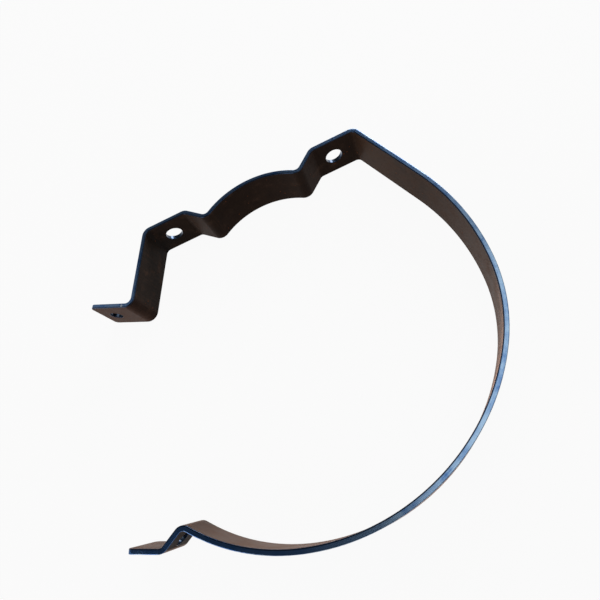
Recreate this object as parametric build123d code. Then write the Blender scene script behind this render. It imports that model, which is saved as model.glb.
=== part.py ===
from build123d import *
from dataclasses import dataclass
from math import copysign, cos, radians, sin, tan
import os

# Gas cylinder bracket: one flat steel bar, bent to a screw-on seat and a long strap.
#
# The bar lies on its edge. X runs along the two screw flats, +Y points at the wall and
# +Z is up, across the bar. The origin is midway between the two wall screws, on the
# face that meets the wall and at half the bar's width.
#
# The bar starts at the foot tab, goes up the leg to the first screw flat, dips over the
# seat, and comes back to the second flat. From there the strap swings round the
# cylinder to the ear. One bolt through the ear and the foot tab closes it. The ear and
# its lip are folded a few degrees out of square, so the lip's end leans.

# Flat bar, in mm
BAR_WIDTH = 30.0
BAR_THICKNESS = 3.0
END_CORNER_RADIUS = 3.0

# Sharp bends: radius of the inner face
BEND_RADIUS = 4.0
EAR_BEND_RADIUS = 3.0

# Foot tab and leg: straight lengths between the bends, turns in degrees
TAB_LENGTH = 27.0
TAB_TURN = 92.0
LEG_LENGTH = 47.5

# Screw flats, one each side of the seat, with the same corner at their outer ends
CORNER_TURN = 68.0
FLAT_LENGTH = 26.0

# Seat: a shallow saddle for the cylinder between two joggles
JOGGLE_TURN = 42.0
JOGGLE_LENGTH = 12.5
SADDLE_RADIUS = 57.0
SADDLE_ANGLE = 66.0

# Strap: a straight shoulder and four gentle curves, radii of the inner face
STRAP_SHOULDER_LENGTH = 55.0
STRAP_UPPER_RADIUS = 143.5
STRAP_UPPER_ANGLE = 29.0
STRAP_SIDE_RADIUS = 106.5
STRAP_SIDE_ANGLE = 28.0
STRAP_LOWER_RADIUS = 128.5
STRAP_LOWER_ANGLE = 68.5
STRAP_END_RADIUS = 118.0
STRAP_END_ANGLE = 29.5

# Ear and lip at the strap's end. Their fold lines lean by the skew, so that the upper
# edge folds first. The strap stays straight for the margin before the fold begins.
FOLD_SKEW = 6.5
FOLD_MARGIN = 0.7
EAR_TURN = 73.0
EAR_LENGTH = 11.0
LIP_TURN = 48.5
LIP_LENGTH = 17.5

# Holes, all on the bar's middle line
SCREW_HOLE_DIAMETER = 12.0
SCREW_HOLE_FROM_FLAT_START = 11.7
BOLT_HOLE_DIAMETER = 9.0
BOLT_HOLE_FROM_TAB_END = 11.0


@dataclass(frozen=True)
class Run:
    """A straight length of the bar."""

    length: float


@dataclass(frozen=True)
class Bend:
    """A round stretch of the bar: turn in degrees, plus to the left, and inside radius."""

    turn: float
    inside_radius: float


first_flat = Run(FLAT_LENGTH)
second_flat = Run(FLAT_LENGTH)
joggle = Run(JOGGLE_LENGTH)
outer_corner = Bend(-CORNER_TURN, BEND_RADIUS)
joggle_corner = Bend(-JOGGLE_TURN, BEND_RADIUS)
saddle_lip = Bend(JOGGLE_TURN + SADDLE_ANGLE / 2, BEND_RADIUS)

bar_pieces = [
    Run(TAB_LENGTH),
    Bend(TAB_TURN, BEND_RADIUS),
    Run(LEG_LENGTH),
    outer_corner,
    first_flat,
    joggle_corner,
    joggle,
    saddle_lip,
    Bend(-SADDLE_ANGLE, SADDLE_RADIUS),
    saddle_lip,
    joggle,
    joggle_corner,
    second_flat,
    outer_corner,
    Run(STRAP_SHOULDER_LENGTH),
    Bend(-STRAP_UPPER_ANGLE, STRAP_UPPER_RADIUS),
    Bend(-STRAP_SIDE_ANGLE, STRAP_SIDE_RADIUS),
    Bend(-STRAP_LOWER_ANGLE, STRAP_LOWER_RADIUS),
    Bend(-STRAP_END_ANGLE, STRAP_END_RADIUS),
]


def side_line(start, out):
    """The bar's line at a distance `out` to the left of its middle, from a start plane.

    Returns the edges of that line, and the plane at the start of each piece and at the
    end of the last, whose X runs along the bar and whose Y points to its left.
    """
    at = Plane(start.origin + start.y_dir * out, x_dir=start.x_dir, z_dir=start.z_dir)
    edges, starts = [], [at]
    for piece in bar_pieces:
        if isinstance(piece, Run):
            edge = Line(at.origin, at.origin + at.x_dir * piece.length)
        else:
            side = copysign(1, piece.turn)
            radius = piece.inside_radius + BAR_THICKNESS / 2 - side * out
            edge = JernArc(at.origin, at.x_dir, radius, piece.turn)
        edges.append(edge)
        at = Plane(edge @ 1, x_dir=edge % 1, z_dir=start.z_dir)
        starts.append(at)
    return edges, starts


def start_of(piece, starts):
    """The plane at the start of one named piece of the bar."""
    return starts[[each is piece for each in bar_pieces].index(True)]


def leaning_run(at, length, start_skew, end_skew):
    """A straight length of the bar whose two ends lean, from the plane at its start.

    Returns the solid and the plane at its end.
    """
    half = BAR_WIDTH / 2
    start_lead = half * tan(radians(start_skew))
    end_lead = half * tan(radians(end_skew))
    corners = [
        (start_lead, -half),
        (length + end_lead, -half),
        (length - end_lead, half),
        (-start_lead, half),
    ]
    sheet = Plane(at.origin, x_dir=at.x_dir, z_dir=-at.y_dir)
    outline = sheet * Polygon(*corners, align=None)
    end = Plane(at.origin + at.x_dir * length, x_dir=at.x_dir, z_dir=at.z_dir)
    return extrude(outline, BAR_THICKNESS / 2, both=True), end


def leaning_fold(at, turn):
    """A sharp bend on a leaning line, from the plane at its start.

    Returns the solid and the plane at its end.
    """
    lean = radians(FOLD_SKEW)
    line = at.z_dir * cos(lean) - at.x_dir * sin(lean)
    to_centre = at.y_dir * copysign(EAR_BEND_RADIUS + BAR_THICKNESS / 2, turn)
    axis = Axis(at.origin + to_centre, line)
    cut = Plane(at.origin, x_dir=line, z_dir=line.cross(at.y_dir))
    section = cut * Rectangle(BAR_WIDTH / cos(lean), BAR_THICKNESS)
    end = Plane(
        axis.position - to_centre.rotate(axis, turn),
        x_dir=at.x_dir.rotate(axis, turn),
        z_dir=at.z_dir.rotate(axis, turn),
    )
    return revolve(section, axis, turn), end


# The bar is laid out from the first flat's direction, then moved so that the screw
# holes straddle the origin with the wall face on Y = 0
tab_heading = CORNER_TURN - TAB_TURN
laid = Plane(Location((0, 0, 0), (0, 0, tab_heading)))
_, laid_starts = side_line(laid, 0)
along = Vector(SCREW_HOLE_FROM_FLAT_START, 0)
first_screw = start_of(first_flat, laid_starts).origin + along
second_screw = start_of(second_flat, laid_starts).origin + along
wall_middle = (first_screw + second_screw) / 2 + Vector(0, BAR_THICKNESS / 2)
bar_start = Plane(-wall_middle, x_dir=laid.x_dir, z_dir=laid.z_dir)

# Everything up to the strap's end is square to Z, so it is one extruded profile
outer_edges, _ = side_line(bar_start, BAR_THICKNESS / 2)
inner_edges, _ = side_line(bar_start, -BAR_THICKNESS / 2)
_, starts = side_line(bar_start, 0)
tab_end = Line(inner_edges[0] @ 0, outer_edges[0] @ 0)
strap_end = Line(inner_edges[-1] @ 1, outer_edges[-1] @ 1)
profile = make_face(outer_edges + inner_edges + [tab_end, strap_end])
bar = extrude(profile, BAR_WIDTH / 2, both=True)

# The ear and lip follow on their leaning fold lines
fold_lead = BAR_WIDTH / 2 * tan(radians(abs(FOLD_SKEW)))
tail, tail_end = leaning_run(starts[-1], FOLD_MARGIN + fold_lead, 0, FOLD_SKEW)
ear_fold, ear_start = leaning_fold(tail_end, EAR_TURN)
ear, ear_end = leaning_run(ear_start, EAR_LENGTH, FOLD_SKEW, FOLD_SKEW)
lip_fold, lip_start = leaning_fold(ear_end, -LIP_TURN)
lip, lip_end = leaning_run(lip_start, LIP_LENGTH, FOLD_SKEW, 0)
bar += [tail, ear_fold, ear, lip_fold, lip]

# Rounded corners at both ends of the bar
corners = []
for end in (starts[0], lip_end):
    for z in (-BAR_WIDTH / 2, BAR_WIDTH / 2):
        corners.append(bar.edges().sort_by_distance(end.origin + end.z_dir * z)[0])
bar = fillet(corners, END_CORNER_RADIUS)


def hole(at, distance, diameter):
    """A drill through the bar, at a distance along a straight length from its start."""
    across = Plane(at.origin + at.x_dir * distance, x_dir=at.x_dir, z_dir=at.y_dir)
    return across * Cylinder(diameter / 2, 2 * BAR_THICKNESS)


for screw_flat in (first_flat, second_flat):
    flat_start = start_of(screw_flat, starts)
    bar -= hole(flat_start, SCREW_HOLE_FROM_FLAT_START, SCREW_HOLE_DIAMETER)
bar -= hole(starts[0], BOLT_HOLE_FROM_TAB_END, BOLT_HOLE_DIAMETER)
bar -= hole(ear_start, EAR_LENGTH / 2, BOLT_HOLE_DIAMETER)

os.makedirs("parts", exist_ok=True)
export_step(bar, "parts/strap_bracket.step")
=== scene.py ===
"""Looks of a gas cylinder bracket: one flat steel bar bent to a screw-on seat, a leg and a long strap.

The bar is swept along its bends, pierced, rounded and dressed here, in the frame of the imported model.
All sizes of the object are in millimetres and become metres where Blender is given them.
"""
import logging
from dataclasses import dataclass, field
from enum import Enum
from math import atan2, ceil, cos, radians, sin, tan

import bpy
from mathutils import Matrix, Vector


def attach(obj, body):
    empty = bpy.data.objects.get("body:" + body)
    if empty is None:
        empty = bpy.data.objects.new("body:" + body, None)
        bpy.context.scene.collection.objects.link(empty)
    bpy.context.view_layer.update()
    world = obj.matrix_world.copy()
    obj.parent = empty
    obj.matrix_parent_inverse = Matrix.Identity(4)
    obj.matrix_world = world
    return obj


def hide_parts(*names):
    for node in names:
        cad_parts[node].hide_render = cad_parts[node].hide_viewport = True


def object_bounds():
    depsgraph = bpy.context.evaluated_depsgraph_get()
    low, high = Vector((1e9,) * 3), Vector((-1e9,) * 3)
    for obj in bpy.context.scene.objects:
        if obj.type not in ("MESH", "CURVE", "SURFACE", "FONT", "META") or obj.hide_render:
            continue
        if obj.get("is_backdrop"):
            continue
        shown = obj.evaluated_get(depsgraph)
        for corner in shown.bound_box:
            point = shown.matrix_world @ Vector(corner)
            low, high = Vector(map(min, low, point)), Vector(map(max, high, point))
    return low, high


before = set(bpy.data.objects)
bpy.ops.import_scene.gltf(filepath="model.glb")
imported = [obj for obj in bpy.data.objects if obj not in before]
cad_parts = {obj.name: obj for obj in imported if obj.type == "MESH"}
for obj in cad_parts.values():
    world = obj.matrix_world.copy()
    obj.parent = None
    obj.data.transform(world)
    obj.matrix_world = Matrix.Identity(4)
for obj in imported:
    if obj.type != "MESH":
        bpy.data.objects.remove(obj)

LOG = logging.getLogger("gas_cylinder_bracket")
MM = 0.001
NODE = "strap_bracket"


class Surface(Enum):
    """The surfaces of a pierced flat bar, each with a finish of its own."""

    WIDE_FACE = 0
    NARROW_EDGE = 1
    HOLE_WALL = 2
    EAR_FAR_FACE = 3


class Ray(Enum):
    """Kinds of ray that see the floor, or just the camera's the walls, as the plain backdrop."""

    CAMERA = "Is Camera Ray"
    GLOSSY = "Is Glossy Ray"
    TRANSMISSION = "Is Transmission Ray"


def linear(hex_colour: str) -> tuple[float, float, float, float]:
    """Turns an sRGB hex colour into a linear one.

    Args:
        hex_colour: The colour as "#rrggbb".

    Returns:
        Linear red, green and blue with an alpha of 1.
    """
    channels = [int(hex_colour[i : i + 2], 16) / 255 for i in (1, 3, 5)]
    values = [c / 12.92 if c <= 0.04045 else ((c + 0.055) / 1.055) ** 2.4 for c in channels]
    return (values[0], values[1], values[2], 1.0)


def socket(sockets: bpy.types.bpy_prop_collection, name: str) -> bpy.types.NodeSocket:
    """Finds a node's socket.

    Args:
        sockets: The inputs or outputs of a node.
        name: The socket's identifier, or its name.

    Returns:
        The socket of that identifier, or the first of that name.
    """
    for one in sockets:
        if one.identifier == name:
            return one
    return sockets[name]


def add_node(
    tree: bpy.types.NodeTree,
    kind: str,
    settings: dict[str, object] | None = None,
    inputs: dict[str, object] | None = None,
    output: str | None = None,
) -> bpy.types.NodeSocket | bpy.types.Node:
    """Adds a node with its settings, values and links.

    Args:
        tree: The node tree it goes into.
        kind: The node's type.
        settings: Properties of the node, by name.
        inputs: What each input gets, by socket: a value, or another node's output.
        output: The output to return, if not the node itself.

    Returns:
        The named output socket, or the node where none is named.
    """
    node = tree.nodes.new(kind)
    for name, value in (settings or {}).items():
        setattr(node, name, value)
    for name, value in (inputs or {}).items():
        target = socket(node.inputs, name)
        if isinstance(value, bpy.types.NodeSocket):
            tree.links.new(value, target)
        else:
            target.default_value = value
    return socket(node.outputs, output) if output else node


def only(obj: bpy.types.Object) -> None:
    """Makes an object the active one and the only one selected."""
    bpy.ops.object.select_all(action="DESELECT")
    obj.select_set(True)
    bpy.context.view_layer.objects.active = obj


def apply_modifier(obj: bpy.types.Object, kind: str, settings: dict[str, object]) -> None:
    """Adds a modifier and applies it.

    Args:
        obj: The object that it changes.
        kind: The modifier's type.
        settings: Its properties, by name.
    """
    modifier = obj.modifiers.new(kind.title(), kind)
    for name, value in settings.items():
        setattr(modifier, name, value)
    only(obj)
    bpy.ops.object.modifier_apply(modifier=modifier.name)


# The bar's centre line


@dataclass(frozen=True)
class Straight:
    """A straight run of the bar, in mm.

    The skews say how far, in degrees, the lines where it starts and ends lean out of square with the bar; the
    upper end of such a line lies further on where its skew is positive.
    """

    length: float
    start_skew: float = 0.0
    end_skew: float = 0.0


@dataclass(frozen=True)
class Bend:
    """A run bent round an arc; a positive turn is to the left, seen from above.

    The step is the angle between the rings of the mesh, and the skew is that of the runs on both sides.
    """

    turn: float
    inside_radius: float
    step: float = 4.0
    skew: float = 0.0

    @property
    def is_sharp(self) -> bool:
        """Whether it was folded over a die, and not drawn round a roll."""
        return self.inside_radius < 10


@dataclass
class Place:
    """A place on the centre line: where it is, in mm, and which way the bar runs, rises and faces there."""

    point: Vector
    along: Vector
    across: Vector
    through: Vector
    travelled: float

    def copy(self) -> "Place":
        """Returns a place of its own with the same values."""
        return Place(
            self.point.copy(), self.along.copy(), self.across.copy(), self.through.copy(), self.travelled
        )

    def walk(self, length: float) -> None:
        """Moves on along a straight run."""
        self.point = self.point + self.along * length
        self.travelled += length

    def swing(self, centre: Vector, axis: Vector, angle: float) -> None:
        """Moves on round a bend.

        Args:
            centre: A point on the bend's axis.
            axis: The bend's axis.
            angle: The turn in radians, positive to the left.
        """
        turn = Matrix.Rotation(angle, 3, axis)
        self.travelled += abs(angle) * (self.point - centre).length
        self.point = centre + turn @ (self.point - centre)
        self.along = turn @ self.along
        self.across = turn @ self.across
        self.through = turn @ self.through


@dataclass
class Stretch:
    """One piece of the bar with the place where it starts, used to find a point's place along the bar."""

    piece: Straight | Bend
    start: Place
    end: Place
    centre: Vector | None = None
    axis: Vector | None = None

    def facing(self, point: Vector) -> Vector:
        """Finds which way the bar's left wide face looks.

        Args:
            point: A point of this stretch, in mm.

        Returns:
            The direction to the bar's left, square to its wide faces at that point.
        """
        if isinstance(self.piece, Straight):
            return self.start.through
        away = point - self.centre
        outward = (away - self.axis * away.dot(self.axis)).normalized()
        return -outward if self.piece.turn > 0 else outward

    def locate(self, point: Vector) -> tuple[float, float, float, float]:
        """Measures a point along this stretch.

        Args:
            point: A point on the bar, in mm.

        Returns:
            How far it lies along, across and through the bar, and how far outside this stretch.
        """
        if isinstance(self.piece, Straight):
            away = point - self.start.point
            along = away.dot(self.start.along)
            across = away.dot(self.start.across)
            through = away.dot(self.start.through)
            low = tan(radians(self.piece.start_skew)) * across
            high = self.piece.length + tan(radians(self.piece.end_skew)) * across
            miss = max(low - along, along - high, 0.0)
            return self.start.travelled + along, across, through, miss + max(abs(through) - 2.0, 0.0)
        skew = radians(self.piece.skew)
        side = 1.0 if self.piece.turn > 0 else -1.0
        away = point - self.centre
        height = away.dot(self.axis)
        spoke = away - self.axis * height
        first = self.start.point - self.centre
        angle = side * atan2(first.cross(spoke).dot(self.axis), first.dot(spoke))
        radius = first.length
        turn = radians(abs(self.piece.turn))
        miss = max(-angle, angle - turn, 0.0) * radius
        along = angle * radius + sin(skew) * height
        through = side * (radius - spoke.length)
        return self.start.travelled + along, cos(skew) * height, through, miss + max(abs(through) - 2.0, 0.0)


# Finishes


@dataclass(frozen=True)
class MillScaleSteel:
    """Hot-rolled mild steel flat bar with its mill scale, wiped with oil.

    The scale is a thin grey-brown oxide, pressed smooth by the rolls: a dull sheen, faint streaks along the
    bar, darker and paler clouds where the scale is thicker, hair cracks across the folds, where it was
    stretched, and pin-heads of rust. Each part of the bar is given a shade of it: greyest on the leg, near
    black on the seat, a warmer brown on the tab and the strap, a paler brown where the strap begins, which
    is painted light, and darkest on the ear, which is painted shade.
    """

    name: str = "hot_rolled_mild_steel_mill_scale"
    thick: str = "#1c120d"
    tab: str = "#452c22"
    leg: str = "#221f1d"
    seat: str = "#2c1f18"
    # Painted light: a paler brown where the strap begins than on the rest of the strap.
    painted_light_shoulder: str = "#4a372b"
    strap: str = "#423229"
    # Painted shade: the ear is near black.
    ear: str = "#1c100b"
    lip: str = "#3a2b23"
    bar_length_mm: float = 703.0
    thin: str = "#4a372d"
    rust: str = "#7d4426"
    roughness: float = 0.36
    specular: float = 0.02
    haze: float = 0.85
    haze_tint: str = "#dcac94"
    haze_roughness: float = 0.30
    streak_contrast: float = 0.12
    crack_contrast: float = 0.25
    cloud_mm: float = 11.0
    streak_width_mm: float = 1.1
    streak_length_mm: float = 38.0
    grit_mm: float = 0.45
    speck_mm: float = 2.6

    def shades(self) -> list[tuple[float, str]]:
        """Lists where along the bar each part's shade begins and ends.

        Returns:
            Distances in mm from the tab's end, each with the shade there.
        """
        return [
            (27.0, self.tab),
            (38.0, self.leg),
            (86.0, self.leg),
            (100.0, self.seat),
            (257.0, self.seat),
            # Painted light where the strap begins.
            (270.0, self.painted_light_shoulder),
            (340.0, self.strap),
            (652.0, self.strap),
            # Painted shade on the ear.
            (664.0, self.ear),
            (676.0, self.ear),
            (692.0, self.lip),
        ]

    def material(self) -> bpy.types.Material:
        """Builds the material.

        Returns:
            The finished material.
        """
        material = bpy.data.materials.new(self.name)
        material.use_nodes = True
        tree = material.node_tree
        tree.nodes.clear()
        bar = add_node(tree, "ShaderNodeAttribute", {"attribute_name": "bar_mm"}, output="Vector")
        worked = add_node(tree, "ShaderNodeAttribute", {"attribute_name": "worked"}, output="Fac")

        cloud = add_node(
            tree,
            "ShaderNodeTexNoise",
            inputs={"Vector": bar, "Scale": 1 / self.cloud_mm, "Detail": 5.0, "Roughness": 0.62},
            output="Fac",
        )
        drawn = add_node(
            tree,
            "ShaderNodeMapping",
            inputs={
                "Vector": bar,
                "Scale": (1 / self.streak_length_mm, 1 / self.streak_width_mm, 1 / self.streak_width_mm),
            },
            output="Vector",
        )
        streak = add_node(
            tree,
            "ShaderNodeTexNoise",
            inputs={"Vector": drawn, "Scale": 1.0, "Detail": 3.0, "Roughness": 0.55},
            output="Fac",
        )
        tone = add_node(
            tree,
            "ShaderNodeMath",
            {"operation": "MULTIPLY_ADD"},
            {
                "Value": streak,
                "Value_001": self.streak_contrast,
                "Value_002": -self.streak_contrast / 2,
            },
            output="Value",
        )
        tone = add_node(
            tree, "ShaderNodeMath", {"operation": "ADD"}, {"Value": tone, "Value_001": cloud}, output="Value"
        )
        body = add_node(
            tree,
            "ShaderNodeValToRGB",
            inputs={
                "Fac": add_node(
                    tree,
                    "ShaderNodeMath",
                    {"operation": "DIVIDE"},
                    {
                        "Value": add_node(tree, "ShaderNodeSeparateXYZ", inputs={"Vector": bar}, output="X"),
                        "Value_001": self.bar_length_mm,
                    },
                    output="Value",
                )
            },
        )
        shades = self.shades()
        stops = body.color_ramp.elements
        while len(stops) < len(shades):
            stops.new(0.5)
        for stop, (distance, colour) in zip(stops, shades):
            stop.position = distance / self.bar_length_mm
            stop.color = linear(colour)
        dark = add_node(
            tree,
            "ShaderNodeMapRange",
            {"interpolation_type": "SMOOTHSTEP"},
            {"Value": tone, "From Min": 0.30, "From Max": 0.56, "To Min": 0.5},
            output="Result",
        )
        colour = add_node(
            tree,
            "ShaderNodeMix",
            {"data_type": "RGBA"},
            {"Factor_Float": dark, "A_Color": linear(self.thick), "B_Color": body.outputs["Color"]},
            output="Result_Color",
        )
        pale = add_node(
            tree,
            "ShaderNodeMapRange",
            {"interpolation_type": "SMOOTHSTEP"},
            {"Value": tone, "From Min": 0.52, "From Max": 0.78},
            output="Result",
        )
        colour = add_node(
            tree,
            "ShaderNodeMix",
            {"data_type": "RGBA"},
            {"Factor_Float": pale, "A_Color": colour, "B_Color": linear(self.thin)},
            output="Result_Color",
        )

        # Hair cracks run across the bar where it was folded.
        across = add_node(
            tree,
            "ShaderNodeMapping",
            inputs={"Vector": bar, "Scale": (1.5, 0.05, 0.3)},
            output="Vector",
        )
        crack = add_node(
            tree,
            "ShaderNodeTexNoise",
            inputs={"Vector": across, "Scale": 1.0, "Detail": 4.0, "Roughness": 0.6},
            output="Fac",
        )
        crack = add_node(
            tree,
            "ShaderNodeMapRange",
            {"interpolation_type": "SMOOTHSTEP"},
            {"Value": crack, "From Min": 0.50, "From Max": 0.66, "To Max": self.crack_contrast},
            output="Result",
        )
        crack = add_node(
            tree,
            "ShaderNodeMath",
            {"operation": "MULTIPLY"},
            {"Value": crack, "Value_001": worked},
            output="Value",
        )
        colour = add_node(
            tree,
            "ShaderNodeMix",
            {"data_type": "RGBA"},
            {"Factor_Float": crack, "A_Color": colour, "B_Color": linear(self.thin)},
            output="Result_Color",
        )

        # Pin-heads of rust, a few to the hand's breadth.
        cell = add_node(
            tree,
            "ShaderNodeTexVoronoi",
            inputs={"Vector": bar, "Scale": 1 / self.speck_mm, "Randomness": 1.0},
        )
        near = add_node(
            tree,
            "ShaderNodeMapRange",
            {"interpolation_type": "SMOOTHSTEP"},
            {
                "Value": cell.outputs["Distance"],
                "From Min": 0.10,
                "From Max": 0.22,
                "To Min": 1.0,
                "To Max": 0.0,
            },
            output="Result",
        )
        lot = add_node(
            tree, "ShaderNodeSeparateColor", inputs={"Color": cell.outputs["Color"]}, output="Red"
        )
        chosen = add_node(
            tree,
            "ShaderNodeMath",
            {"operation": "GREATER_THAN"},
            {"Value": lot, "Value_001": 0.90},
            output="Value",
        )
        speck = add_node(
            tree,
            "ShaderNodeMath",
            {"operation": "MULTIPLY"},
            {"Value": near, "Value_001": chosen},
            output="Value",
        )
        colour = add_node(
            tree,
            "ShaderNodeMix",
            {"data_type": "RGBA"},
            {"Factor_Float": speck, "A_Color": colour, "B_Color": linear(self.rust)},
            output="Result_Color",
        )

        rough = add_node(
            tree,
            "ShaderNodeMapRange",
            inputs={
                "Value": tone,
                "From Min": 0.3,
                "From Max": 0.75,
                "To Min": self.roughness - 0.06,
                "To Max": self.roughness + 0.12,
            },
            output="Result",
        )
        rough = add_node(
            tree,
            "ShaderNodeMath",
            {"operation": "MULTIPLY_ADD"},
            {"Value": speck, "Value_001": 0.3, "Value_002": rough},
            output="Value",
        )
        grit = add_node(
            tree,
            "ShaderNodeTexNoise",
            inputs={"Vector": bar, "Scale": 1 / self.grit_mm, "Detail": 2.0, "Roughness": 0.5},
            output="Fac",
        )
        height = add_node(
            tree,
            "ShaderNodeMath",
            {"operation": "MULTIPLY_ADD"},
            {"Value": grit, "Value_001": 0.5, "Value_002": streak},
            output="Value",
        )
        height = add_node(
            tree,
            "ShaderNodeMath",
            {"operation": "MULTIPLY_ADD"},
            {"Value": crack, "Value_001": 0.8, "Value_002": height},
            output="Value",
        )
        normal = add_node(
            tree,
            "ShaderNodeBump",
            inputs={"Height": height, "Strength": 0.25, "Distance": 0.06 * MM},
            output="Normal",
        )
        shader = add_node(
            tree,
            "ShaderNodeBsdfPrincipled",
            inputs={
                "Base Color": colour,
                "Metallic": 0.0,
                "Roughness": rough,
                "Specular IOR Level": self.specular,
                "Sheen Weight": self.haze,
                "Sheen Tint": linear(self.haze_tint),
                "Sheen Roughness": self.haze_roughness,
                "Normal": normal,
            },
            output="BSDF",
        )
        add_node(tree, "ShaderNodeOutputMaterial", inputs={"Surface": shader})
        return material


@dataclass(frozen=True)
class BluedSteelEdge:
    """The bar's rolled narrow edges and its cut ends: steel with a blue oxide film.

    The film is too thin to hide the metal, so it mirrors like metal, tinted blue, with fine lines along the
    bar from the rolls. Along the far arris it is paler in patches, partly from wear and partly a painted
    highlight; a narrow dark line along the arris on the seat's side is painted shade, and the film is palest,
    a painted highlight, along the strap's side.
    """

    name: str = "blue_oxide_steel"
    film: str = "#93b2cf"
    deep: str = "#2a60a0"
    # Where the painted highlight along the strap's side rises and fades, in mm along the bar.
    painted_highlight_from_mm: float = 300.0
    painted_highlight_to_mm: float = 610.0
    nick: str = "#c3d0dc"
    nick_mm: float = 13.0
    # Partly wear and partly a painted highlight along the far arris.
    wear_and_highlight: str = "#9fb6cc"
    # Painted shade: the dark line along the arris on the seat's side.
    painted_shade_line: str = "#1b3350"
    painted_shade_line_mm: float = 0.7
    roughness: float = 0.23
    oil: float = 0.5
    oil_roughness: float = 0.15
    line_width_mm: float = 0.35
    line_length_mm: float = 22.0
    cloud_mm: float = 9.0
    half_width_mm: float = 15.0
    half_thickness_mm: float = 1.5

    def material(self) -> bpy.types.Material:
        """Builds the material.

        Returns:
            The finished material.
        """
        material = bpy.data.materials.new(self.name)
        material.use_nodes = True
        tree = material.node_tree
        tree.nodes.clear()
        bar = add_node(tree, "ShaderNodeAttribute", {"attribute_name": "bar_mm"}, output="Vector")
        axes = add_node(tree, "ShaderNodeSeparateXYZ", inputs={"Vector": bar})
        across = add_node(
            tree, "ShaderNodeMath", {"operation": "ABSOLUTE"}, {"Value": axes.outputs["Y"]}, output="Value"
        )
        drawn = add_node(
            tree,
            "ShaderNodeMapping",
            inputs={
                "Vector": bar,
                "Scale": (1 / self.line_length_mm, 1 / self.line_width_mm, 1 / self.line_width_mm),
            },
            output="Vector",
        )
        line = add_node(
            tree,
            "ShaderNodeTexNoise",
            inputs={"Vector": drawn, "Scale": 1.0, "Detail": 3.0, "Roughness": 0.6},
            output="Fac",
        )
        cloud = add_node(
            tree,
            "ShaderNodeTexNoise",
            inputs={"Vector": bar, "Scale": 1 / self.cloud_mm, "Detail": 4.0, "Roughness": 0.6},
            output="Fac",
        )
        tone = add_node(
            tree,
            "ShaderNodeMath",
            {"operation": "MULTIPLY_ADD"},
            {"Value": line, "Value_001": 0.6, "Value_002": cloud},
            output="Value",
        )
        tone = add_node(
            tree,
            "ShaderNodeMapRange",
            {"interpolation_type": "SMOOTHSTEP"},
            {"Value": tone, "From Min": 0.50, "From Max": 0.94},
            output="Result",
        )
        # Painted highlight: the film is palest along the strap's side, darker towards the tab and darkest
        # towards the lip.
        highlight_rise = add_node(
            tree,
            "ShaderNodeMapRange",
            {"interpolation_type": "SMOOTHSTEP"},
            {
                "Value": axes.outputs["X"],
                "From Min": self.painted_highlight_from_mm,
                "From Max": self.painted_highlight_from_mm + 100.0,
                "To Min": 0.45,
            },
            output="Result",
        )
        finish = add_node(
            tree,
            "ShaderNodeMapRange",
            {"interpolation_type": "SMOOTHSTEP"},
            {
                "Value": axes.outputs["X"],
                "From Min": self.painted_highlight_to_mm - 80.0,
                "From Max": self.painted_highlight_to_mm,
                "To Min": 1.0,
                "To Max": 0.18,
            },
            output="Result",
        )
        tone = add_node(
            tree,
            "ShaderNodeMath",
            {"operation": "MULTIPLY"},
            {"Value": highlight_rise, "Value_001": tone},
            output="Value",
        )
        tone = add_node(
            tree,
            "ShaderNodeMath",
            {"operation": "MULTIPLY"},
            {"Value": finish, "Value_001": tone},
            output="Value",
        )
        colour = add_node(
            tree,
            "ShaderNodeMix",
            {"data_type": "RGBA"},
            {"Factor_Float": tone, "A_Color": linear(self.deep), "B_Color": linear(self.film)},
            output="Result_Color",
        )
        # The arris away from the seat is paler in patches: partly wear, as it is at the rim of both surfaces
        # that meet there, and partly a painted highlight along the rounded arris.
        outer = add_node(
            tree,
            "ShaderNodeMapRange",
            {"interpolation_type": "SMOOTHSTEP"},
            {
                "Value": axes.outputs["Z"],
                "From Min": self.half_thickness_mm - 0.5,
                "From Max": self.half_thickness_mm - 0.1,
            },
            output="Result",
        )
        upper = add_node(
            tree,
            "ShaderNodeMapRange",
            {"interpolation_type": "SMOOTHSTEP"},
            {"Value": across, "From Min": self.half_width_mm - 0.7, "From Max": self.half_width_mm - 0.3},
            output="Result",
        )
        arris = add_node(
            tree,
            "ShaderNodeMath",
            {"operation": "MULTIPLY"},
            {"Value": outer, "Value_001": upper},
            output="Value",
        )
        wear = add_node(
            tree,
            "ShaderNodeMapRange",
            {"interpolation_type": "SMOOTHSTEP"},
            {"Value": cloud, "From Min": 0.42, "From Max": 0.66},
            output="Result",
        )
        arris = add_node(
            tree,
            "ShaderNodeMath",
            {"operation": "MULTIPLY"},
            {"Value": arris, "Value_001": wear},
            output="Value",
        )
        colour = add_node(
            tree,
            "ShaderNodeMix",
            {"data_type": "RGBA"},
            {"Factor_Float": arris, "A_Color": colour, "B_Color": linear(self.wear_and_highlight)},
            output="Result_Color",
        )
        # Painted shade: a narrow dark line along the arris on the seat's side.
        shade_line_mask = add_node(
            tree,
            "ShaderNodeMapRange",
            {"interpolation_type": "SMOOTHSTEP"},
            {
                "Value": axes.outputs["Z"],
                "From Min": self.painted_shade_line_mm - 0.15 - self.half_thickness_mm,
                "From Max": self.painted_shade_line_mm + 0.15 - self.half_thickness_mm,
                "To Min": 1.0,
                "To Max": 0.0,
            },
            output="Result",
        )
        colour = add_node(
            tree,
            "ShaderNodeMix",
            {"data_type": "RGBA"},
            {"Factor_Float": shade_line_mask, "A_Color": colour, "B_Color": linear(self.painted_shade_line)},
            output="Result_Color",
        )

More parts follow.
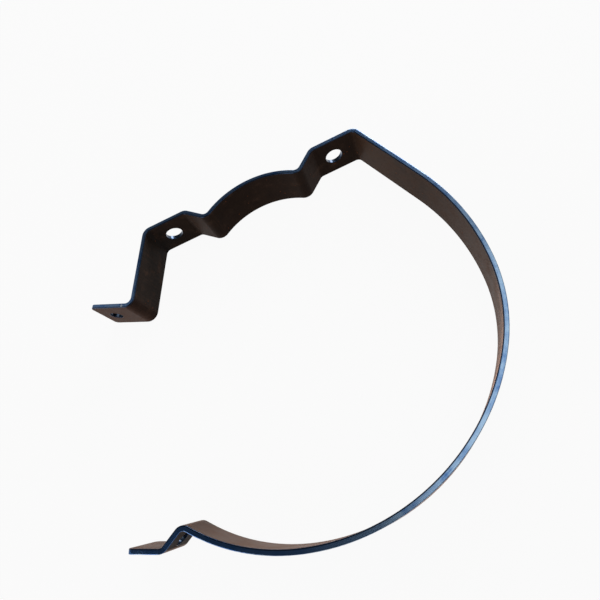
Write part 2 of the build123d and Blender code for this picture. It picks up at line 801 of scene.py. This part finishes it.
        # Small bright nicks, where bars knocked together in the bin.
        cell = add_node(
            tree,
            "ShaderNodeTexVoronoi",
            inputs={"Vector": bar, "Scale": 1 / self.nick_mm, "Randomness": 1.0},
        )
        nick = add_node(
            tree,
            "ShaderNodeMapRange",
            {"interpolation_type": "SMOOTHSTEP"},
            {
                "Value": cell.outputs["Distance"],
                "From Min": 0.05,
                "From Max": 0.09,
                "To Min": 1.0,
                "To Max": 0.0,
            },
            output="Result",
        )
        colour = add_node(
            tree,
            "ShaderNodeMix",
            {"data_type": "RGBA"},
            {"Factor_Float": nick, "A_Color": colour, "B_Color": linear(self.nick)},
            output="Result_Color",
        )
        rough = add_node(
            tree,
            "ShaderNodeMapRange",
            inputs={
                "Value": line,
                "From Min": 0.3,
                "From Max": 0.7,
                "To Min": self.roughness - 0.03,
                "To Max": self.roughness + 0.05,
            },
            output="Result",
        )
        normal = add_node(
            tree,
            "ShaderNodeBump",
            inputs={"Height": line, "Strength": 0.15, "Distance": 0.05 * MM},
            output="Normal",
        )
        shader = add_node(
            tree,
            "ShaderNodeBsdfPrincipled",
            inputs={
                "Base Color": colour,
                "Metallic": 1.0,
                "Roughness": rough,
                "Normal": normal,
                "Coat Weight": self.oil,
                "Coat Roughness": self.oil_roughness,
            },
            output="BSDF",
        )
        add_node(tree, "ShaderNodeOutputMaterial", inputs={"Surface": shader})
        return material


@dataclass(frozen=True)
class PaperFloor:
    """A plain matt white paper sweep, which keeps the soft shadow under the bar."""

    name: str = "white_paper"
    sheet: str = "#bdbdbd"
    lit: str = "#ffffff"
    evenness: float = 0.94

    def material(self) -> bpy.types.Material:
        """Builds the material.

        Returns:
            The finished material.
        """
        material = bpy.data.materials.new(self.name)
        material.use_nodes = True
        tree = material.node_tree
        tree.nodes.clear()
        path = add_node(tree, "ShaderNodeLightPath")
        seen = path.outputs[Ray.CAMERA.value]
        for ray in (Ray.GLOSSY, Ray.TRANSMISSION):
            seen = add_node(
                tree,
                "ShaderNodeMath",
                {"operation": "MAXIMUM"},
                {"Value": seen, "Value_001": path.outputs[ray.value]},
                output="Value",
            )
        seen = add_node(
            tree,
            "ShaderNodeMath",
            {"operation": "MULTIPLY"},
            {"Value": seen, "Value_001": self.evenness},
            output="Value",
        )
        paper = add_node(
            tree, "ShaderNodeBsdfDiffuse", inputs={"Color": linear(self.sheet)}, output="BSDF"
        )
        glow = add_node(
            tree,
            "ShaderNodeEmission",
            inputs={"Color": linear(self.lit), "Strength": 1.0},
            output="Emission",
        )
        shader = add_node(
            tree,
            "ShaderNodeMixShader",
            inputs={"Fac": seen, "Shader": paper, "Shader_001": glow},
            output="Shader",
        )
        add_node(tree, "ShaderNodeOutputMaterial", inputs={"Surface": shader})
        return material


# The bracket


@dataclass
class StrapBracket:
    """The bent bar, from the foot tab with its bolt hole to the lip at the end of the strap. Sizes in mm."""

    name: str = "bent_flat_bar"
    width: float = 30.0
    thickness: float = 3.0
    end_corner_radius: float = 3.0
    seat_side_arris: float = 0.8
    far_side_arris: float = 0.7
    hole_arris: float = 0.4
    scale_reach: float = 0.95
    start_point: tuple[float, float, float] = (-131.102, -40.963, 0.0)
    start_heading: float = -24.0
    screw_hole: float = 12.0
    screw_hole_from_start: float = 11.7
    bolt_hole: float = 9.0
    bolt_hole_from_tab_end: float = 11.0
    bolt_hole_from_ear_start: float = 5.5
    pieces: tuple[Straight | Bend, ...] = (
        Straight(27.0),
        Bend(92.0, 4.0),
        Straight(47.5),
        Bend(-68.0, 4.0),
        Straight(26.0),
        Bend(-42.0, 4.0),
        Straight(12.5),
        Bend(75.0, 4.0),
        Bend(-66.0, 57.0, step=2.0),
        Bend(75.0, 4.0),
        Straight(12.5),
        Bend(-42.0, 4.0),
        Straight(26.0),
        Bend(-68.0, 4.0),
        Straight(55.0),
        Bend(-29.0, 143.5, step=1.8),
        Bend(-28.0, 106.5, step=1.8),
        Bend(-68.5, 128.5, step=1.8),
        Bend(-29.5, 118.0, step=1.8),
        Straight(2.409, end_skew=-6.5),
        Bend(73.0, 3.0, skew=-6.5),
        Straight(11.0, start_skew=-6.5, end_skew=-6.5),
        Bend(-48.5, 3.0, skew=-6.5),
        Straight(17.5, start_skew=-6.5),
    )
    stretches: list[Stretch] = field(default_factory=list)
    body: bpy.types.Object | None = None

    def build(self) -> bpy.types.Object:
        """Models and dresses the bar.

        Returns:
            The finished object.
        """
        self.sweep_bar()
        self.round_end_corners()
        self.pierce_holes()
        self.round_arrises()
        self.mark_bar()
        self.dress()
        return self.body

    def place_at_start(self) -> Place:
        """Returns the place at the tab's free end."""
        heading = radians(self.start_heading)
        along = Vector((cos(heading), sin(heading), 0.0))
        across = Vector((0.0, 0.0, 1.0))
        return Place(Vector(self.start_point), along, across, across.cross(along), 0.0)

    def select_end(self, place: Place) -> None:
        """Selects the bar's end face, in edit mode.

        Args:
            place: The place of the end face.
        """
        mesh = self.body.data
        bpy.ops.mesh.select_all(action="DESELECT")
        bpy.ops.object.mode_set(mode="OBJECT")
        for face in mesh.polygons:
            middle = face.center / MM - place.point
            face.select = middle.length < 0.05 and abs(face.normal.dot(place.along)) > 0.9
        bpy.ops.object.mode_set(mode="EDIT")

    def sweep_bar(self) -> None:
        """Sweeps the bar's section along its runs and bends, from a block as long as the foot tab."""
        bpy.ops.object.select_all(action="DESELECT")
        place = self.place_at_start()
        tab = self.pieces[0]
        middle = place.point + place.along * (tab.length / 2)
        bpy.ops.mesh.primitive_cube_add(
            size=1.0,
            location=middle * MM,
            rotation=(0.0, 0.0, radians(self.start_heading)),
            scale=(tab.length * MM, self.thickness * MM, self.width * MM),
        )
        self.body = bpy.context.active_object
        self.body.name = self.name
        bpy.ops.object.transform_apply(location=True, rotation=True, scale=True)
        start = place.copy()
        place.walk(tab.length)
        self.stretches.append(Stretch(tab, start, place.copy()))
        bpy.ops.object.mode_set(mode="EDIT")
        bpy.ops.mesh.select_mode(type="FACE")
        self.select_end(place)
        for piece in self.pieces[1:]:
            if isinstance(piece, Straight):
                self.run_on(piece, place)
            else:
                self.fold(piece, place)
        bpy.ops.mesh.select_all(action="SELECT")
        bpy.ops.mesh.remove_doubles(threshold=0.001 * MM)
        bpy.ops.mesh.normals_make_consistent(inside=False)
        bpy.ops.object.mode_set(mode="OBJECT")
        LOG.info("bar swept over %.1f mm, %d faces", place.travelled, len(self.body.data.polygons))

    def run_on(self, piece: Straight, place: Place) -> None:
        """Extrudes the end face along a straight run, leans it as its end does, and moves the place on.

        Args:
            piece: The run.
            place: The place of the end face, which moves to the run's end.
        """
        start = place.copy()
        bpy.ops.mesh.extrude_region_move(
            TRANSFORM_OT_translate={"value": tuple(place.along * piece.length * MM)}
        )
        place.walk(piece.length)
        if piece.end_skew != piece.start_skew:
            self.lean_end(place, tan(radians(piece.end_skew)) - tan(radians(piece.start_skew)))
        self.stretches.append(Stretch(piece, start, place.copy()))

    def lean_end(self, place: Place, slope: float) -> None:
        """Slides the upper and lower corners of the end face along the bar, opposite ways.

        Args:
            place: The place of the end face.
            slope: How far a corner slides for each mm that it lies above the middle line.
        """
        mesh = self.body.data
        bpy.ops.object.mode_set(mode="OBJECT")
        end = [face.index for face in mesh.polygons if face.select]
        corners = {index for face in end for index in mesh.polygons[face].vertices}
        for side in (1.0, -1.0):
            heights = {i: (mesh.vertices[i].co / MM - place.point).dot(place.across) for i in corners}
            half = [i for i in corners if heights[i] * side > 0]
            self.select_only(half, [])
            slide = place.along * slope * side * self.width / 2
            bpy.ops.transform.translate(value=tuple(slide * MM))
            bpy.ops.object.mode_set(mode="OBJECT")
        self.select_only([], end)

    def select_only(self, vertices: list[int], faces: list[int]) -> None:
        """Selects a few vertices or faces and nothing else, and leaves the bar in edit mode.

        Args:
            vertices: The numbers of the vertices, or none where faces are given.
            faces: The numbers of the faces.
        """
        mesh = self.body.data
        bpy.ops.object.mode_set(mode="EDIT")
        bpy.ops.mesh.select_mode(type="VERT" if vertices else "FACE")
        bpy.ops.mesh.select_all(action="DESELECT")
        bpy.ops.object.mode_set(mode="OBJECT")
        for index in vertices:
            mesh.vertices[index].select = True
        for index in faces:
            mesh.polygons[index].select = True
        bpy.ops.object.mode_set(mode="EDIT")

    def fold(self, piece: Bend, place: Place) -> None:
        """Spins the end face round a bend and moves the place on.

        Args:
            piece: The bend.
            place: The place of the end face, which moves to the bend's end.
        """
        start = place.copy()
        side = 1.0 if piece.turn > 0 else -1.0
        skew = radians(piece.skew)
        axis = (place.across * cos(skew) + place.along * sin(skew)).normalized()
        spoke = axis.cross(place.along).normalized()
        radius = piece.inside_radius + self.thickness / 2
        centre = place.point + spoke * radius * side
        angle = radians(piece.turn)
        bpy.ops.mesh.spin(
            steps=max(2, ceil(abs(piece.turn) / piece.step)),
            angle=-angle,
            center=tuple(centre * MM),
            axis=tuple(axis),
        )
        place.swing(centre, axis, angle)
        self.stretches.append(Stretch(piece, start, place.copy(), centre, axis))

    def round_end_corners(self) -> None:
        """Bevels the two corners of each free end, as a guillotine with a radiused blade leaves them."""
        mesh = self.body.data
        ends = (self.stretches[0].start, self.stretches[-1].end)
        bpy.ops.object.mode_set(mode="EDIT")
        bpy.ops.mesh.select_mode(type="EDGE")
        bpy.ops.mesh.select_all(action="DESELECT")
        bpy.ops.object.mode_set(mode="OBJECT")
        for edge in mesh.edges:
            first, last = (mesh.vertices[i].co / MM for i in edge.vertices)
            middle = (first + last) / 2
            for end in ends:
                away = middle - end.point
                at_end = abs(away.dot(end.along)) < 0.05 and away.length < self.width
                lies_through = abs((last - first).normalized().dot(end.through)) > 0.9
                edge.select = edge.select or (at_end and lies_through)
        bpy.ops.object.mode_set(mode="EDIT")
        bpy.ops.mesh.bevel(offset=self.end_corner_radius * MM, segments=6, affect="EDGES")
        bpy.ops.object.mode_set(mode="OBJECT")

    def holes(self) -> list[tuple[Place, float]]:
        """Lists the bolt hole of the tab, the two screw holes of the seat and the bolt hole of the ear.

        Returns:
            The place of each hole's middle, and its diameter in mm.
        """
        runs = [s.start for s in self.stretches if isinstance(s.piece, Straight)]
        found = []
        for start, distance, diameter in (
            (runs[0], self.bolt_hole_from_tab_end, self.bolt_hole),
            (runs[2], self.screw_hole_from_start, self.screw_hole),
            (runs[5], self.screw_hole_from_start, self.screw_hole),
            (runs[-2], self.bolt_hole_from_ear_start, self.bolt_hole),
        ):
            middle = start.copy()
            middle.walk(distance)
            found.append((middle, diameter))
        return found

    def pierce_holes(self) -> None:
        """Cuts the holes, each with a round punch."""
        for middle, diameter in self.holes():
            centre = middle.point
            turn = Matrix((middle.along, middle.across, middle.along.cross(middle.across))).transposed()
            bpy.ops.object.select_all(action="DESELECT")
            bpy.ops.mesh.primitive_cylinder_add(
                vertices=64,
                radius=diameter / 2 * MM,
                depth=self.thickness * 3 * MM,
                location=centre * MM,
                rotation=turn.to_euler(),
            )
            punch = bpy.context.active_object
            bpy.ops.object.transform_apply(location=True, rotation=True, scale=True)
            apply_modifier(
                self.body, "BOOLEAN", {"operation": "DIFFERENCE", "object": punch, "solver": "EXACT"}
            )
            bpy.data.objects.remove(punch)
            LOG.info("hole of %.1f mm cut at (%.1f, %.1f, %.1f)", diameter, *centre)

    def arris_at(self, point: Vector) -> float:
        """Says how far an arris is rounded, least round the holes and most on the seat's side.

        Args:
            point: A point on or near the arris, in mm.

        Returns:
            The size of the rounding in mm.
        """
        for middle, diameter in self.holes():
            if (point - middle.point).length < diameter / 2 + self.thickness:
                return self.hole_arris
        _, (_, _, through) = self.whereabouts(point)
        return self.seat_side_arris if through < 0 else self.far_side_arris

    def round_arrises(self) -> None:
        """Rounds every sharp edge of the bar and of its holes."""
        mesh = self.body.data
        weights = []
        for edge in mesh.edges:
            middle = (mesh.vertices[edge.vertices[0]].co + mesh.vertices[edge.vertices[1]].co) / 2
            weights.append(self.arris_at(middle / MM) / self.seat_side_arris)
        mesh.attributes.new("bevel_weight_edge", "FLOAT", "EDGE").data.foreach_set("value", weights)
        only(self.body)
        bpy.ops.object.mode_set(mode="EDIT")
        bpy.ops.mesh.select_mode(type="EDGE")
        bpy.ops.mesh.select_all(action="DESELECT")
        bpy.ops.mesh.edges_select_sharp(sharpness=radians(40))
        bpy.ops.mesh.select_all(action="INVERT")
        bpy.ops.transform.edge_bevelweight(value=-1.0)
        bpy.ops.object.mode_set(mode="OBJECT")
        apply_modifier(
            self.body,
            "BEVEL",
            {
                "width": self.seat_side_arris * MM,
                "segments": 4,
                "limit_method": "WEIGHT",
                "use_clamp_overlap": True,
            },
        )
        only(self.body)
        bpy.ops.object.shade_smooth_by_angle(angle=radians(35))
        apply_modifier(self.body, "WEIGHTED_NORMAL", {"keep_sharp": True, "weight": 60})

    def whereabouts(self, point: Vector) -> tuple[Stretch, tuple[float, float, float]]:
        """Finds the stretch that a point of the bar belongs to.

        Args:
            point: The point, in mm.

        Returns:
            The stretch, and how far the point lies along, across and through the bar.
        """
        found = min(
            ((stretch.locate(point), number) for number, stretch in enumerate(self.stretches)),
            key=lambda item: item[0][3],
        )
        return self.stretches[found[1]], found[0][:3]

    def mark_bar(self) -> None:
        """Writes on each vertex where it lies on the straight bar, and how hard the bar was worked there."""
        mesh = self.body.data
        places: list[float] = []
        worked: list[float] = []
        folds = [s for s in self.stretches if isinstance(s.piece, Bend) and s.piece.is_sharp]
        for vertex in mesh.vertices:
            _, (along, across, through) = self.whereabouts(vertex.co / MM)
            places.extend((along, across, through))
            away = min(
                max(fold.start.travelled - along, along - fold.end.travelled, 0.0) for fold in folds
            )
            worked.append(max(0.0, 1.0 - away / 2.5))
        mesh.attributes.new("bar_mm", "FLOAT_VECTOR", "POINT").data.foreach_set("vector", places)
        mesh.attributes.new("worked", "FLOAT", "POINT").data.foreach_set("value", worked)

    def dress(self) -> None:
        """Gives the wide faces their mill scale, and the edges, ends and holes their blue films.

        The darker film in the holes is painted shade, and so is the duller copy of the scale on the ear's far
        side.
        """
        mesh = self.body.data
        ear = self.stretches[-4:-2]
        mesh.materials.clear()
        mesh.materials.append(MillScaleSteel().material())
        mesh.materials.append(BluedSteelEdge().material())
        # Painted shade: the hole walls get a darker copy of the film.
        shaded_hole_film = BluedSteelEdge(name="blue_oxide_hole_shaded", film="#51657c", deep="#1d2b3e")
        mesh.materials.append(shaded_hole_film.material())
        # Painted shade: the ear's far face gets a copy of the scale with less sheen and gloss, so it renders
        # darker.
        shaded_ear_scale = MillScaleSteel(name="mill_scale_shaded", haze=0.12, specular=0.005)
        mesh.materials.append(shaded_ear_scale.material())
        for face in mesh.polygons:
            centre = face.center / MM
            stretch, _ = self.whereabouts(centre)
            facing_left = face.normal.dot(stretch.facing(centre))
            if facing_left > self.scale_reach and any(stretch is part for part in ear):
                surface = Surface.EAR_FAR_FACE
            elif abs(facing_left) > self.scale_reach:
                surface = Surface.WIDE_FACE
            elif self.arris_at(centre) == self.hole_arris:
                surface = Surface.HOLE_WALL
            else:
                surface = Surface.NARROW_EDGE
            face.material_index = surface.value


# The studio


@dataclass(frozen=True)
class SoftBox:
    """A soft rectangular lamp, in metres and watts."""

    name: str
    centre: tuple[float, float, float]
    aim: tuple[float, float, float]
    width: float
    height: float
    watts: float

    def build(self) -> bpy.types.Object:
        """Adds the lamp.

        Returns:
            The lamp's object.
        """
        data = bpy.data.lights.new(self.name, "AREA")
        data.shape = "RECTANGLE"
        data.size = self.width
        data.size_y = self.height
        data.energy = self.watts
        lamp = bpy.data.objects.new(self.name, data)
        bpy.context.collection.objects.link(lamp)
        lamp.location = self.centre
        lamp.rotation_euler = (Vector(self.aim) - Vector(self.centre)).to_track_quat("-Z", "Y").to_euler()
        return lamp


@dataclass
class Studio:
    """The paper floor, the lamps, the plain surroundings and the camera."""

    floor_height: float
    floor_size: float = 6.0
    overhead: float = 0.075
    around: float = 0.35
    camera_place: tuple[float, float, float] = (0.035318, -0.229270, 0.266588)
    camera_turn: tuple[float, float, float] = (22.54665, 15.65315, -19.90711)
    lens: float = 28.29
    boxes: tuple[SoftBox, ...] = (
        SoftBox("over_box", (0.31, -0.11, 1.05), (0.0, -0.11, 0.0), 0.80, 0.70, 2.0),
        SoftBox("side_box", (0.42, 0.52, 1.05), (0.42, 0.52, 0.0), 0.45, 0.50, 0.26),
        SoftBox("tab_box", (-0.80, 0.70, 1.05), (-0.80, 0.70, 0.0), 0.30, 0.30, 0.16),
        SoftBox("left_box", (-1.0, -0.55, 0.50), (0.0, -0.11, 0.0), 0.8, 0.5, 3.5),
        SoftBox("back_box", (0.60, 0.85, 0.38), (0.0, -0.11, 0.0), 0.8, 0.4, 10.0),
    )

    def build(self) -> None:
        """Builds all of it."""
        self.lay_floor()
        for box in self.boxes:
            box.build()
        self.light_surroundings()
        self.place_camera()

    def lay_floor(self) -> None:
        """Lays the paper at the height that the bracket stands on."""
        bpy.ops.object.select_all(action="DESELECT")
        bpy.ops.mesh.primitive_plane_add(size=self.floor_size, location=(0.0, 0.0, self.floor_height))
        floor = bpy.context.active_object
        floor.name = "paper_floor"
        bpy.ops.object.transform_apply(location=True, rotation=True, scale=True)
        floor.data.materials.append(PaperFloor().material())
        floor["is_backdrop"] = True

    def light_surroundings(self) -> None:
        """Makes the world a plain room, even pale walls under a dim ceiling, that is white to the camera."""
        world = bpy.data.worlds.new("plain_surroundings")
        world.use_nodes = True
        tree = world.node_tree
        tree.nodes.clear()
        direction = add_node(tree, "ShaderNodeTexCoord", output="Generated")
        axes = add_node(tree, "ShaderNodeSeparateXYZ", inputs={"Vector": direction})
        strength = add_node(
            tree,
            "ShaderNodeMapRange",
            {"interpolation_type": "SMOOTHSTEP"},
            {
                "Value": axes.outputs["Z"],
                "From Min": 0.3,
                "From Max": 0.75,
                "To Min": self.around,
                "To Max": self.overhead,
            },
            output="Result",
        )
        path = add_node(tree, "ShaderNodeLightPath")
        strength = add_node(
            tree,
            "ShaderNodeMath",
            {"operation": "MAXIMUM"},
            {"Value": strength, "Value_001": path.outputs[Ray.CAMERA.value]},
            output="Value",
        )
        background = add_node(
            tree,
            "ShaderNodeBackground",
            inputs={"Color": linear("#ffffff"), "Strength": strength},
            output="Background",
        )
        add_node(tree, "ShaderNodeOutputWorld", inputs={"Surface": background})
        bpy.context.scene.world = world

    def place_camera(self) -> None:
        """Sets the camera over the loop, looking down into it."""
        data = bpy.data.cameras.new("camera")
        data.sensor_width = 36.0
        data.sensor_fit = "HORIZONTAL"
        data.lens = self.lens
        data.clip_start = 0.01
        camera = bpy.data.objects.new("camera", data)
        bpy.context.collection.objects.link(camera)
        camera.location = self.camera_place
        camera.rotation_euler = tuple(radians(a) for a in self.camera_turn)
        bpy.context.scene.camera = camera


def main() -> None:
    """Builds the bracket and the studio, and logs the bar's faces and the number of lamps."""
    logging.basicConfig(level=logging.INFO, format="%(message)s")
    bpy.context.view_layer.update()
    bracket = StrapBracket()
    body = bracket.build()
    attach(body, "root")
    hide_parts(NODE)
    LOG.info("%s: %d faces", body.name, len(body.data.polygons))
    studio = Studio(floor_height=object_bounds()[0][2])
    studio.build()
    LOG.info("studio: %d lamps", len(studio.boxes))
    bpy.context.scene.view_settings.view_transform = "Standard"


if __name__ == "__main__":
    main()
